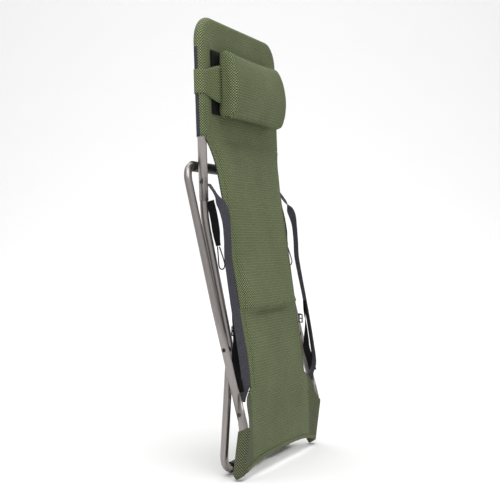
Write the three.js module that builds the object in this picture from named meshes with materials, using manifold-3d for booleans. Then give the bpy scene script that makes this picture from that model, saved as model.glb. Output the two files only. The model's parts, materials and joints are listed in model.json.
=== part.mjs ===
// Folding camp chair, folded and upright: two crossed tube frames, a one-piece mesh sling, a
// sliding headrest and two webbing armrests. Millimetres, +Z up, the sling's face towards -Y.
import * as THREE from 'three';
import { mergeVertices } from 'three/addons/utils/BufferGeometryUtils.js';
import Module from 'manifold-3d';

const wasm = await Module();
wasm.setup();

// Tubes
const LARGE_R = 11;
const SMALL_R = 9.5;
const WALL = 0.8;
const BACK_X = 241;
const LEG_X = 265;
const TUBE_SIDES = 12;

// Driving points of the two frames, as [Y, Z]
const BACK_END = [84, 652];
const BACK_TOP = [99.2, 1084];
const LOWER_TUBE_TOP = [86.6, 725];
const LOWER_BEND = [82.6, 612];
const CROSSING = [17.3, 304];
const FRONT_FOOT = [34, 15];
const REAR_BAR = [122, 736];
const REAR_KNEE = [43, 395];
const REAR_END = [-22.5, 141];
const PIVOT = [19, 302];
const ARM_MOUTH = [-7.3, 200];
const ARM_KNEE = [-28, 120];
const ARM_TIP = [-14, 10];
const BACK_RIVET = [86, 696];
const ARM_RIVET = [-19.3, 154];

// Bend radii of the tube centre lines
const BACK_CORNER = 54;
const FOOT_CORNER = 41;
const REAR_CORNER = 40;
const ARM_BEND = 60;

// Rivets and pins
const SHANK_R = 2.7;
const HOLE_R = 3.1;
const HEAD_R = 5;
const HEAD_T = 1.8;
const GAP = 0.3;

// Feet: sleeves on the two ground bars, each with one flat face
const FOOT_R = 12.8;
const FOOT_FLAT = 12;
const FOOT_LENGTH = 165;
const OPEN_GROUND_ANGLE = THREE.MathUtils.degToRad(31.3);
const FOLD_ANGLE = THREE.MathUtils.degToRad(80);

// Sling
const SLEEVE_END_Z = 804;
const SLEEVE_R = 12.6;
const PANEL_T = 3;
const PANEL_W = 227;
const WAIST_W = 203;
const FLARE_LENGTH = 55;
const BACK_PANEL_LOW = 425;
const SEAT_PANEL_HIGH = 360;
const SLING_LINE = [
  [78, 804], [61, 741], [51, 680], [38, 607], [24, 511], [14, 442],
  [-1, 345], [-12, 285], [-20, 208], [-26, 120], [-29, 34],
];
const POCKET_TOP_Z = 112;

// Headrest
const PAD_W = 176;
const PAD_LOW = 858;
const PAD_HIGH = 1018;
const PAD_BACK_Y = 73.5;
const PAD_FRONT_Y = 31;
const BAND_LOW = 906;
const BAND_HIGH = 964;

// Webbing
const STRAP_X = 240;
const STRAP_W = 25;
const STRAP_T = 2;
const STRAP_TWIST = THREE.MathUtils.degToRad(50);
const STRAP_LINE = [
  [65, 690], [46, 655], [27, 606], [20, 515], [1, 419], [-18, 319], [-29, 254], [-33, 206],
];
// The armrest's two solids leave room for the lower one to slide up as the chair opens.
const STRAP_UPPER_LOW = 540;
const STRAP_LOWER_HIGH = 426;
const ADJUSTER_W = 14;
const BUCKLE_X = 237;
const BUCKLE_AT = [6, 345];
const ADJUSTER_LINE = [[6, 388], [4, 352], [-2, 290], [-10, 222]];
const TAB_LINE = [[66, 648], [59, 600], [48, 546]];
const CORD_R = 1.5;
const CORD_LINE = [
  [45.5, 543.5], [42, 534], [38.5, 524], [35, 514], [32.2, 505], [31.5, 498], [33.5, 492],
  [38, 489.2], [43, 490.5], [46.2, 495], [47.2, 502], [47.8, 512], [48.6, 524], [50.5, 543.5],
];

const silver = material(0xa7a19f, 0.35, 0.9);
const blackPlastic = material(0x191919, 0.55, 0);
const greenMesh = material(0x66764c, 0.9, 0);
const greyWebbing = material(0x4b4c57, 0.85, 0);
const blackWebbing = material(0x161617, 0.85, 0);
const steel = material(0x3c3a39, 0.4, 0.8);

const chair = new THREE.Group();

function material(color, roughness, metalness) {
  return new THREE.MeshStandardMaterial({ color, roughness, metalness });
}

function addPart(name, geometry, partMaterial) {
  const mesh = new THREE.Mesh(geometry, partMaterial);
  mesh.name = name;
  chair.add(mesh);
  return mesh;
}

// A curve through given stations, so that a swept solid has a section at each of them.
class Route extends THREE.Curve {
  constructor(stations) {
    super();
    this.stations = stations;
  }

  getPoint(t, target = new THREE.Vector3()) {
    const last = this.stations.length - 1;
    const at = Math.min(Math.max(t, 0), 1) * last;
    const low = Math.min(Math.floor(at), last - 1);
    return target.lerpVectors(this.stations[low], this.stations[low + 1], at - low);
  }

  getPointAt(u, target) {
    return this.getPoint(u, target);
  }

  getTangentAt(u, target = new THREE.Vector3()) {
    const last = this.stations.length - 1;
    const at = Math.round(u * last);
    const before = this.stations[Math.max(at - 1, 0)];
    const here = this.stations[at];
    const after = this.stations[Math.min(at + 1, last)];
    const into = new THREE.Vector3().subVectors(here, before).normalize();
    const out = new THREE.Vector3().subVectors(after, here).normalize();
    return target.addVectors(into, out).normalize();
  }
}

// Stations along straight runs joined by arcs of the given radii at the inner corners.
function filleted(corners, radii, arcSteps = 6) {
  const stations = [corners[0]];
  for (let i = 1; i < corners.length - 1; i += 1) {
    const toBefore = new THREE.Vector3().subVectors(corners[i - 1], corners[i]).normalize();
    const toAfter = new THREE.Vector3().subVectors(corners[i + 1], corners[i]).normalize();
    const half = toBefore.angleTo(toAfter) / 2;
    const reach = radii[i - 1] / Math.tan(half);
    const bisector = new THREE.Vector3().addVectors(toBefore, toAfter).normalize();
    const centre = corners[i].clone().addScaledVector(bisector, radii[i - 1] / Math.sin(half));
    const from = corners[i].clone().addScaledVector(toBefore, reach).sub(centre);
    const axis = new THREE.Vector3().crossVectors(toAfter, toBefore).normalize();
    const turn = Math.PI - 2 * half;
    const steps = Math.max(2, Math.ceil(arcSteps * turn / (Math.PI / 2)));
    for (let s = 0; s <= steps; s += 1) {
      stations.push(from.clone().applyAxisAngle(axis, turn * s / steps).add(centre));
    }
  }
  stations.push(corners[corners.length - 1]);
  return stations;
}

function circle(radius, sides) {
  const points = [];
  for (let i = 0; i < sides; i += 1) {
    const angle = 2 * Math.PI * (i + 0.5) / sides;
    points.push(new THREE.Vector2(radius * Math.cos(angle), radius * Math.sin(angle)));
  }
  return points;
}

function sweep(shape, stations) {
  return new THREE.ExtrudeGeometry(shape, {
    steps: stations.length - 1,
    extrudePath: new Route(stations),
    curveSegments: 1,
    bevelEnabled: false,
  });
}

function tube(stations, outer, inner, sides = TUBE_SIDES) {
  const shape = new THREE.Shape(circle(outer, sides));
  if (inner > 0) {
    shape.holes.push(new THREE.Path(circle(inner, sides)));
  }
  return sweep(shape, stations);
}

// A flat strap along a line of [Y, Z] points at one X, its width turned about the line.
function strap(line, x, width, thickness, twist) {
  const stations = line.map(([y, z]) => new THREE.Vector3(x, y, z));
  const shape = new THREE.Shape();
  const corners = [[-1, -1], [1, -1], [1, 1], [-1, 1]];
  const cos = Math.cos(twist);
  const sin = Math.sin(twist);
  const points = corners.map(([across, up]) => {
    const u = across * width / 2;
    const v = up * thickness / 2;
    return new THREE.Vector2(u * cos - v * sin, u * sin + v * cos);
  });
  shape.setFromPoints(points);
  return sweep(shape, stations);
}

// A closed solid through sections of equal point counts, with a fan at each end. Seen from the
// last section's side, each section runs anticlockwise.
function loft(sections) {
  const count = sections[0].length;
  const positions = sections.flat().flatMap((p) => [p.x, p.y, p.z]);
  const index = [];
  for (let s = 0; s < sections.length - 1; s += 1) {
    for (let i = 0; i < count; i += 1) {
      const a = s * count + i;
      const b = s * count + (i + 1) % count;
      index.push(a, b, b + count, a, b + count, a + count);
    }
  }
  const last = (sections.length - 1) * count;
  for (let i = 1; i < count - 1; i += 1) {
    index.push(0, i + 1, i);
    index.push(last, last + i, last + i + 1);
  }
  const geometry = new THREE.BufferGeometry();
  geometry.setAttribute('position', new THREE.Float32BufferAttribute(positions, 3));
  geometry.setIndex(index);
  return geometry;
}

function toSolid(geometry) {
  const bare = geometry.clone();
  bare.deleteAttribute('normal');
  bare.deleteAttribute('uv');
  const merged = mergeVertices(bare, 1e-4);
  const vertProperties = new Float32Array(merged.attributes.position.array);
  const triVerts = new Uint32Array(merged.index.array);
  return new wasm.Manifold(new wasm.Mesh({ numProp: 3, vertProperties, triVerts }));
}

function toGeometry(solid) {
  const mesh = solid.getMesh();
  const geometry = new THREE.BufferGeometry();
  geometry.setAttribute('position', new THREE.BufferAttribute(mesh.vertProperties, 3));
  geometry.setIndex(new THREE.BufferAttribute(mesh.triVerts, 1));
  return geometry;
}

function cut(geometry, tools) {
  let solid = toSolid(geometry);
  for (const tool of tools) {
    solid = solid.subtract(toSolid(tool));
  }
  return toGeometry(solid);
}

// A drill along X between two X values, at a [Y, Z] point.
function drill(x0, x1, [y, z]) {
  const geometry = new THREE.CylinderGeometry(HOLE_R, HOLE_R, Math.abs(x1 - x0), 12);
  geometry.rotateZ(Math.PI / 2);
  geometry.translate((x0 + x1) / 2, y, z);
  return geometry;
}

// A pin along X with a head at each end, its shank between two X values.
function rivet(x0, x1, [y, z]) {
  const low = Math.min(x0, x1);
  const high = Math.max(x0, x1);
  const profile = [
    [0, low - HEAD_T], [HEAD_R - 1, low - HEAD_T], [HEAD_R, low], [SHANK_R, low],
    [SHANK_R, high], [HEAD_R, high], [HEAD_R - 1, high + HEAD_T], [0, high + HEAD_T],
  ].map(([r, along]) => new THREE.Vector2(r, along));
  const geometry = new THREE.LatheGeometry(profile, 12);
  geometry.rotateZ(-Math.PI / 2);
  geometry.translate(0, y, z);
  return geometry;
}

// A U-shaped frame tube: the left side's corners are mirrored onto the right side.
function mirrored(corners) {
  const right = corners.map((p) => new THREE.Vector3(-p.x, p.y, p.z)).reverse();
  return [...corners, ...right];
}

function uTube(x, sidePoints, radii, outer, holes) {
  const left = sidePoints.map(([y, z]) => new THREE.Vector3(-x, y, z));
  const stations = filleted(mirrored(left), [...radii, ...[...radii].reverse()]);
  const reach = outer + 5;
  const tools = [];
  for (const side of [-1, 1]) {
    for (const hole of holes) {
      tools.push(drill(side * x - reach, side * x + reach, hole));
    }
  }
  return cut(tube(stations, outer, outer - WALL), tools);
}

function addFrames() {
  addPart('back_frame_tube',
    uTube(BACK_X, [BACK_END, BACK_TOP], [BACK_CORNER], LARGE_R, [BACK_RIVET]), silver);
  addPart('front_leg_tube',
    uTube(BACK_X, [LOWER_TUBE_TOP, LOWER_BEND, CROSSING, FRONT_FOOT],
      [300, 150, FOOT_CORNER], SMALL_R, [BACK_RIVET, PIVOT]), silver);
  addPart('rear_leg_tube',
    uTube(LEG_X, [REAR_END, REAR_KNEE, REAR_BAR], [800, REAR_CORNER], SMALL_R,
      [ARM_RIVET, PIVOT]), silver);
}

// The short arm tube that takes the rear leg's lower end and carries a corner of the seat.
function armTube(side) {
  const corners = [ARM_MOUTH, ARM_KNEE, ARM_TIP]
    .map(([y, z]) => new THREE.Vector3(side * LEG_X, y, z));
  const body = tube(filleted(corners, [ARM_BEND]), LARGE_R, LARGE_R - WALL);
  const blade = new THREE.BoxGeometry(40, 60, 200);
  blade.translate(0, 30, 0);
  blade.rotateX(THREE.MathUtils.degToRad(-1));
  blade.translate(side * LEG_X, ARM_MOUTH[0] - LARGE_R + 3, ARM_MOUTH[1]);
  return cut(body, [blade, drill(side * LEG_X - 16, side * LEG_X + 16, ARM_RIVET)]);
}

function armPlug(side) {
  const profile = [[0, 0], [LARGE_R - 0.5, 0], [LARGE_R - 0.5, 3], [9.4, 3.3], [9.4, 18], [0, 18]]
    .map(([r, z]) => new THREE.Vector2(r, z));
  const geometry = new THREE.LatheGeometry(profile, 12);
  const lean = Math.atan2(ARM_TIP[0] - ARM_KNEE[0], ARM_KNEE[1] - ARM_TIP[1]);
  geometry.rotateX(Math.PI / 2 + lean);
  geometry.translate(side * LEG_X, ARM_TIP[0] + 3.6 * Math.sin(lean),
    ARM_TIP[1] - 3.6 * Math.cos(lean));
  return geometry;
}

function addArmsAndPins() {
  for (const [word, side] of [['left', -1], ['right', 1]]) {
    addPart(`front_arm_${word}`, armTube(side), silver);
    addPart(`arm_plug_${word}`, armPlug(side), blackPlastic);
    const back = side * BACK_X;
    const leg = side * LEG_X;
    const backReach = LARGE_R + GAP;
    addPart(`back_rivet_${word}`, rivet(back - backReach, back + backReach, BACK_RIVET), steel);
    addPart(`arm_rivet_${word}`, rivet(leg - backReach, leg + backReach, ARM_RIVET), steel);
    const inner = back - side * (SMALL_R + GAP);
    const outer = leg + side * (SMALL_R + GAP);
    addPart(`pivot_pin_${word}`, rivet(inner, outer, PIVOT), steel);
    addPart(`pivot_washer_${word}`, pivotWasher(side), blackPlastic);
  }
}

// The spacer that keeps the two frames apart at the pivot.
function pivotWasher(side) {
  const space = LEG_X - BACK_X - 2 * SMALL_R - 2 * GAP;
  const shape = new THREE.Shape(circle(9, 16));
  shape.holes.push(new THREE.Path(circle(HOLE_R, 16)));
  const geometry = new THREE.ExtrudeGeometry(shape, {
    depth: space, bevelEnabled: false, curveSegments: 1,
  });
  geometry.translate(0, 0, -space / 2);
  geometry.rotateY(Math.PI / 2);
  geometry.translate(side * (BACK_X + LEG_X) / 2, PIVOT[0], PIVOT[1]);
  return geometry;
}

// A sleeve along X on a ground bar, round except for one flat face along a given direction.
function footSleeve(side, bar, startX, flatAngle) {
  const points = [];
  const flatHalf = Math.acos(FOOT_FLAT / FOOT_R);
  const steps = 20;
  for (let i = 0; i <= steps; i += 1) {
    const angle = flatAngle + flatHalf + (2 * Math.PI - 2 * flatHalf) * i / steps;
    points.push(new THREE.Vector2(FOOT_R * Math.cos(angle), FOOT_R * Math.sin(angle)));
  }
  const shape = new THREE.Shape(points);
  shape.holes.push(new THREE.Path(circle(SMALL_R + GAP, 16)));
  const geometry = new THREE.ExtrudeGeometry(shape, {
    depth: FOOT_LENGTH, bevelEnabled: false, curveSegments: 1,
  });
  // Shape x becomes Y and shape y becomes Z; the extrusion runs along +X.
  geometry.applyMatrix4(new THREE.Matrix4().set(
    0, 0, 1, 0,
    1, 0, 0, 0,
    0, 1, 0, 0,
    0, 0, 0, 1,
  ));
  const from = side < 0 ? -startX : startX - FOOT_LENGTH;
  geometry.translate(from, bar[0], bar[1]);
  return geometry;
}

function addFeet() {
  const frontFlat = OPEN_GROUND_ANGLE - Math.PI / 2;
  const rearFlat = frontFlat + FOLD_ANGLE;
  const frontStart = BACK_X - FOOT_CORNER - 1;
  const rearStart = LEG_X - REAR_CORNER - 1;
  for (const [word, side] of [['left', -1], ['right', 1]]) {
    addPart(`front_foot_${word}`, footSleeve(side, FRONT_FOOT, frontStart, frontFlat),
      blackPlastic);
    addPart(`rear_foot_${word}`, footSleeve(side, REAR_BAR, rearStart, rearFlat), blackPlastic);
  }
}

function backLineY(z) {
  const slope = (BACK_TOP[0] - BACK_END[0]) / (BACK_TOP[1] - BACK_END[1]);
  return BACK_END[0] + slope * (z - BACK_END[1]);
}

// The sling's centre line below the sleeve: Y at a height Z.
function slingY(z) {
  const line = SLING_LINE;
  let i = 0;
  while (i < line.length - 2 && z < line[i + 1][1]) {
    i += 1;
  }
  const t = (line[i][1] - z) / (line[i][1] - line[i + 1][1]);
  return line[i][0] + t * (line[i + 1][0] - line[i][0]);
}

function slingHalfWidth(z) {
  const flare = (PANEL_W - WAIST_W) * Math.exp(-(SLEEVE_END_Z - z) / FLARE_LENGTH);
  return z > SLEEVE_END_Z ? PANEL_W : WAIST_W + flare;
}

function panelSection(halfWidth, y, z) {
  const front = y - PANEL_T / 2;
  const back = y + PANEL_T / 2;
  return [
    new THREE.Vector3(-halfWidth, front, z),
    new THREE.Vector3(halfWidth, front, z),
    new THREE.Vector3(halfWidth, back, z),
    new THREE.Vector3(-halfWidth, back, z),
  ];
}

function addSling() {
  const backSections = [];
  const cornerLow = BACK_TOP[1] - BACK_CORNER;
  const innerCorner = BACK_CORNER - SLEEVE_R - 1;
  for (let i = 0; i <= 4; i += 1) {
    const angle = (Math.PI / 2) * (4 - i) / 4.4;
    const z = cornerLow + innerCorner * Math.sin(angle);
    const width = PANEL_W - innerCorner * (1 - Math.cos(angle));
    backSections.push(panelSection(width, backLineY(z) - 9, z));
  }
  for (const z of [SLEEVE_END_Z + 30, SLEEVE_END_Z, 780, 741, 680, 607, 511, BACK_PANEL_LOW]) {
    const y = z > SLEEVE_END_Z ? backLineY(z) - 9 : slingY(z);
    backSections.push(panelSection(slingHalfWidth(z), y, z));
  }
  addPart('sling_back', loft(backSections.reverse()), greenMesh);

  const seatSections = [];
  for (const z of [34, 120, 208, 285, SEAT_PANEL_HIGH]) {
    seatSections.push(panelSection(WAIST_W - 5, slingY(z), z));
  }
  addPart('sling_seat', loft(seatSections), greenMesh);

  const sleeveLow = [backLineY(SLEEVE_END_Z), SLEEVE_END_Z];
  addPart('back_sleeve', uTube(BACK_X, [sleeveLow, BACK_TOP], [BACK_CORNER],
    SLEEVE_R, []), greenMesh);
  for (const [word, side] of [['left', -1], ['right', 1]]) {
    addPart(`seat_pocket_${word}`, pocket(side), greenMesh);
  }
}

// The seat's corner pocket: a sleeve on the arm tube, closed under the tube's plug.
function pocket(side) {
  const t = (ARM_KNEE[1] - POCKET_TOP_Z + 8) / (ARM_KNEE[1] - ARM_TIP[1]);
  const topY = ARM_KNEE[0] + t * (ARM_TIP[0] - ARM_KNEE[0]);
  const lean = (ARM_TIP[0] - ARM_KNEE[0]) / (ARM_KNEE[1] - ARM_TIP[1]);
  const at = (z) => new THREE.Vector3(side * LEG_X, topY + (POCKET_TOP_Z - 8 - z) * lean, z);
  const outside = tube([at(POCKET_TOP_Z - 8), at(1.2)], LARGE_R + 2, 0);
  const inside = tube([at(POCKET_TOP_Z + 10), at(3.8)], LARGE_R + 0.6, 0);
  return cut(outside, [inside]);
}

// The pad's section at one X: a flat back and a crowned front, shrunk towards the ends.
function padSection(x, swell) {
  const points = [];
  const middle = (PAD_LOW + PAD_HIGH) / 2;
  const halfHeight = (PAD_HIGH - PAD_LOW) / 2 * (0.86 + 0.14 * swell);
  const depth = (PAD_BACK_Y - PAD_FRONT_Y) * swell;
  const steps = 8;
  for (let i = 0; i <= steps; i += 1) {
    const angle = Math.PI * i / steps;
    const z = middle - halfHeight * Math.cos(angle);
    const bulge = depth * Math.sqrt(Math.sin(angle));
    points.push(new THREE.Vector3(x, PAD_BACK_Y - 2 - bulge, z));
  }
  points.push(new THREE.Vector3(x, PAD_BACK_Y, middle + halfHeight));
  points.push(new THREE.Vector3(x, PAD_BACK_Y, middle - halfHeight));
  return points.reverse();
}

function addHeadrest() {
  const sections = [];
  for (const [share, swell] of [[-1, 0.6], [-0.94, 0.85], [-0.7, 1], [0.7, 1], [0.94, 0.85],
    [1, 0.6]]) {
    sections.push(padSection(share * PAD_W, swell));
  }
  addPart('headrest_pad', loft(sections), greenMesh);

  const middleY = backLineY((BAND_LOW + BAND_HIGH) / 2);
  const clear = 3.2;
  const wall = 1.5;
  const innerX = BACK_X + SLEEVE_R + clear;
  const innerY = SLEEVE_R + clear;
  const ring = (grow) => {
    const x = innerX + grow;
    const y = innerY + grow;
    const r = 10;
    const shape = new THREE.Shape();
    shape.moveTo(-x + r, -y);
    shape.lineTo(x - r, -y);
    shape.absarc(x - r, -y + r, r, -Math.PI / 2, 0, false);
    shape.absarc(x - r, y - r, r, 0, Math.PI / 2, false);
    shape.absarc(-x + r, y - r, r, Math.PI / 2, Math.PI, false);
    shape.absarc(-x + r, -y + r, r, Math.PI, 1.5 * Math.PI, false);
    return shape;
  };
  const band = ring(wall);
  band.holes.push(new THREE.Path(ring(0).getPoints(3)));
  const geometry = new THREE.ExtrudeGeometry(band, {
    depth: BAND_HIGH - BAND_LOW, bevelEnabled: false, curveSegments: 3,
  });
  geometry.translate(0, middleY, BAND_LOW);
  addPart('headrest_band', geometry, greenMesh);
}

// Points of a [Y, Z] line above or below a height, with a point at the height itself.
function partOfLine(line, z, above) {
  const inside = line.filter((p) => (above ? p[1] > z + 1 : p[1] < z - 1));
  const i = line.findIndex((p) => p[1] < z);
  const [a, b] = [line[i - 1], line[i]];
  const t = (a[1] - z) / (a[1] - b[1]);
  const cutPoint = [a[0] + t * (b[0] - a[0]), z];
  return above ? [...inside, cutPoint] : [cutPoint, ...inside];
}

function buckle(side) {
  const shape = new THREE.Shape();
  const w = 9;
  const h = 12;
  shape.setFromPoints([[-w, -h], [w, -h], [w, h], [-w, h]].map(([x, y]) => new THREE.Vector2(x, y)));
  for (const offset of [-1, 1]) {
    const slot = [[-6.4, -3.2], [6.4, -3.2], [6.4, 3.2], [-6.4, 3.2]]
      .map(([x, y]) => new THREE.Vector2(x, y + offset * 5.2));
    shape.holes.push(new THREE.Path(slot));
  }
  const geometry = new THREE.ExtrudeGeometry(shape, { depth: 3, bevelEnabled: false });
  geometry.translate(0, 0, -1.5);
  geometry.rotateX(Math.PI / 2);
  geometry.rotateZ(side * STRAP_TWIST);
  geometry.translate(side * BUCKLE_X, ...BUCKLE_AT);
  return geometry;
}

function addWebbing() {
  for (const [word, side] of [['left', -1], ['right', 1]]) {
    const x = side * STRAP_X;
    const twist = -side * STRAP_TWIST;
    addPart(`armrest_upper_${word}`, strap(partOfLine(STRAP_LINE, STRAP_UPPER_LOW, true),
      x, STRAP_W, STRAP_T, twist), greyWebbing);
    addPart(`armrest_lower_${word}`, strap(partOfLine(STRAP_LINE, STRAP_LOWER_HIGH, false),
      x, STRAP_W, STRAP_T, twist), greyWebbing);
    addPart(`adjuster_webbing_${word}`,
      strap(ADJUSTER_LINE, x, ADJUSTER_W, 1.8, twist), blackWebbing);
    addPart(`adjuster_buckle_${word}`, buckle(side), blackPlastic);
    addPart(`side_tab_${word}`, strap(TAB_LINE, side * (BACK_X - 3), 15, 2.4, Math.PI / 2),
      blackWebbing);
    const cordPoints = CORD_LINE.map(([y, z]) => new THREE.Vector3(side * (BACK_X - 3), y, z));
    addPart(`cord_loop_${word}`, tube(cordPoints, CORD_R, 0, 8), blackWebbing);
  }
}

// The origin is under the middle of the chair's box, on the surface that it stands on.
function centreOnBase() {
  const box = new THREE.Box3().setFromObject(chair, true);
  chair.position.set(-(box.min.x + box.max.x) / 2, -(box.min.y + box.max.y) / 2, -box.min.z);
  chair.updateMatrixWorld(true);
}

addFrames();
addArmsAndPins();
addFeet();
addSling();
addHeadrest();
addWebbing();
centreOnBase();

export default chair;
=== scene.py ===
"""Folding camp chair, folded and upright: tubes, sling, headrest, webbing and studio."""

import json
import math

import bmesh
import bpy
from bpy.props import FloatProperty, FloatVectorProperty, PointerProperty
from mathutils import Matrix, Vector, noise


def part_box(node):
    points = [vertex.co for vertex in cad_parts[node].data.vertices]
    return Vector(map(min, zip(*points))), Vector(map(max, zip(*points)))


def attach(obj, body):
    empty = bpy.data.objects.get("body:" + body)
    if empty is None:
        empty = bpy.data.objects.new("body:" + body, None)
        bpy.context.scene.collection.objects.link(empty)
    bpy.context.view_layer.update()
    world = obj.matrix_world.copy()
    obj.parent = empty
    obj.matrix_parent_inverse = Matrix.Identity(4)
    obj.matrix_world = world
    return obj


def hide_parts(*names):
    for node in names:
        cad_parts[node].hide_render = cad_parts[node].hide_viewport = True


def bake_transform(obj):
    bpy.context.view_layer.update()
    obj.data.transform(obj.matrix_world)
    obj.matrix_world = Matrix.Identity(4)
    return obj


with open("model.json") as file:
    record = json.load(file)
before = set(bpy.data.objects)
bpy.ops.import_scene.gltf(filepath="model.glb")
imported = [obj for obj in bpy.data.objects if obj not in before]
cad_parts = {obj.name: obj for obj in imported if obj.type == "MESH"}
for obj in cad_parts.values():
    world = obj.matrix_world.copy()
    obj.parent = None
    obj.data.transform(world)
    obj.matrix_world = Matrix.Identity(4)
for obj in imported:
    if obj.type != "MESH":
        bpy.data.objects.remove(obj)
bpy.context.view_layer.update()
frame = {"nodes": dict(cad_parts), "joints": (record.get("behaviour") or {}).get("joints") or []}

bl_info = {
    "name": "Folding Camp Chair",
    "version": (1, 0, 0),
    "blender": (4, 5, 0),
    "location": "3D View > Sidebar > Camp Chair",
    "description": "Builds the tubes, sling, headrest and webbing of a folded camp chair",
    "category": "Add Mesh",
}

MM = 0.001
VIEW_AZIMUTH = math.radians(-68.5)
JOINTS = {joint["name"]: joint for joint in frame["joints"]}
SIDES = (("left", -1), ("right", 1))

# The crossing pin in the frame, and the same pin in the design's own [Y, Z] millimetres.
PIVOT = Vector(JOINTS["fold"]["pos_m"])
DESIGN_PIVOT = (19.0, 302.0)

# Centre lines of the tubes, in design millimetres.
BACK_X = 241.0
LEG_X = 265.0
BACK_LINE = [(84.0, 652.0), (99.2, 1084.0)]
LOWER_LINE = [(86.6, 725.0), (82.6, 612.0), (17.3, 304.0), (34.0, 15.0)]
REAR_LINE = [(-22.5, 141.0), (43.0, 395.0), (122.0, 736.0)]
ARM_LINE = [(-7.3, 200.0), (-28.0, 120.0), (-16.6, 30.0)]
BACK_CORNER = 54.0
FOOT_CORNER = 41.0
REAR_CORNER = 40.0
LARGE_R = 11.0
SMALL_R = 9.5
WALL = 0.8

# The sling's centre line under the sleeve, and its widths, in design millimetres.
SLEEVE_END = 804.0
SLEEVE_R = 12.5
SLING_LINE = [
    (76.9, 804.0), (61.0, 741.0), (51.0, 680.0), (38.0, 607.0), (24.0, 511.0), (14.0, 442.0),
    (-1.0, 345.0), (-12.0, 285.0), (-20.0, 208.0), (-26.0, 120.0), (-29.0, 34.0),
]
WAIST = 203.0
SEAT_WAIST = 196.0
SEAT_FLARE = 204.0
POCKET_R = 13.2
HEM_MIDDLE = 36.0
# How far the face stands out or sinks at each soft shape, in design millimetres.
BULGE = 14.0
SIDE_BUMP = 4.0
CREASE = 5.0
RIPPLE = 1.8

# Seams: how far from the sling's edge, beside the sleeve, and how far the thread stands proud.
EDGE_SEAM_IN = 18.0
SLEEVE_SEAM_X = 218.0
THREAD_PROUD = 0.7

# Thicknesses of cloth and webbing, in metres.
MESH_T = 0.0012
SLEEVE_T = 0.0009
DOUBLED_T = 0.001
WEBBING_T = 0.0018

# Webbing, in design millimetres.
STRAP_X = 240.0
STRAP_LINE = [
    (72.0, 692.0), (60.0, 676.0), (46.0, 655.0), (34.0, 632.0), (27.0, 606.0), (22.5, 560.0),
    (20.0, 515.0), (11.0, 467.0), (1.0, 419.0), (-9.0, 369.0), (-18.0, 319.0), (-25.0, 275.0),
    (-30.0, 240.0), (-30.0, 220.0), (-25.0, 205.0), (-20.0, 190.0), (-18.0, 180.0),
]
# Each armrest's twist, as (share of its length, degrees from across to fore and aft), and its slack.
ARMREST_HANG = {
    "left": ([(0, 0), (0.07, 4), (0.12, 75), (0.2, 32), (0.35, 28), (0.6, 36), (0.85, 48), (1, 50)], 7.0),
    "right": ([(0, 0), (0.07, 4), (0.12, 75), (0.2, 54), (0.35, 50), (0.6, 42), (0.85, 45), (1, 50)], 0.0),
}
ADJUSTER_LINE = [(3, 394), (2, 372), (0, 354), (-3, 325), (-4, 290), (-5, 262), (-12, 231), (-18, 203)]
# How far each adjusting web hangs forward or back of that line.
ADJUSTER_HANG = {"left": 5.0, "right": -5.0}
CORD_D = 3.0
CORD_LINE = [
    (45.5, 543.5), (42, 534), (38.5, 524), (35, 514), (32.2, 505), (31.5, 498), (33.5, 492),
    (38, 489.2), (43, 490.5), (46.2, 495), (47.2, 502), (47.8, 512), (48.6, 524), (50.5, 543.5),
]


def linear(code):
    """A hex sRGB colour as linear RGB."""
    values = [int(code[i : i + 2], 16) / 255 for i in (1, 3, 5)]
    return tuple(v / 12.92 if v <= 0.04045 else ((v + 0.055) / 1.055) ** 2.4 for v in values)


def place(x, y, z):
    """Design millimetres to the frame's metres."""
    return Vector((x * MM, PIVOT.y + (y - DESIGN_PIVOT[0]) * MM, PIVOT.z + (z - DESIGN_PIVOT[1]) * MM))


def smooth(t):
    """A soft step from 0 to 1."""
    t = min(max(t, 0.0), 1.0)
    return t * t * (3 - 2 * t)


def along(line, z):
    """Y of a [Y, Z] line at height Z, on a smooth curve through its points."""
    points = sorted(line, key=lambda p: p[1])
    z = min(max(z, points[0][1]), points[-1][1])
    i = max(k for k in range(len(points) - 1) if points[k][1] <= z)
    p1, p2 = points[i], points[i + 1]
    p0 = points[i - 1] if i else p1
    p3 = points[i + 2] if i + 2 < len(points) else p2
    span = p2[1] - p1[1]
    m1 = (p2[0] - p0[0]) / (p2[1] - p0[1]) * span
    m2 = (p3[0] - p1[0]) / (p3[1] - p1[1]) * span
    t = (z - p1[1]) / span
    return (
        (2 * t**3 - 3 * t**2 + 1) * p1[0]
        + (t**3 - 2 * t**2 + t) * m1
        + (3 * t**2 - 2 * t**3) * p2[0]
        + (t**3 - t**2) * m2
    )


def back_y(z):
    """Y of the back tube's centre line at height Z."""
    (y0, z0), (y1, z1) = BACK_LINE
    return y0 + (y1 - y0) * (z - z0) / (z1 - z0)


def arm_y(z):
    """Y of the arm tube's centre line at height Z."""
    top, knee, tip = ARM_LINE
    a, b = (top, knee) if z > knee[1] else (knee, tip)
    return b[0] + (a[0] - b[0]) * (z - b[1]) / (a[1] - b[1])


# ---------------------------------------------------------------- meshes


def new_object(name, verts, faces, uvs=None, slots=None):
    """A mesh object from points, faces, one UV pair per point and one slot per face."""
    mesh = bpy.data.meshes.new(name)
    mesh.from_pydata([tuple(v) for v in verts], [], faces)
    if uvs:
        layer = mesh.uv_layers.new(name="UVMap")
        for loop in mesh.loops:
            layer.data[loop.index].uv = uvs[loop.vertex_index]
    if slots:
        mesh.polygons.foreach_set("material_index", slots)
    mesh.polygons.foreach_set("use_smooth", [True] * len(mesh.polygons))
    mesh.update()
    thing = bpy.data.objects.new(name, mesh)
    bpy.context.scene.collection.objects.link(thing)
    return thing


def apply_modifiers(thing):
    """Bakes the modifiers into the mesh."""
    graph = bpy.context.evaluated_depsgraph_get()
    mesh = bpy.data.meshes.new_from_object(thing.evaluated_get(graph))
    thing.modifiers.clear()
    thing.data = mesh
    return thing


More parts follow.
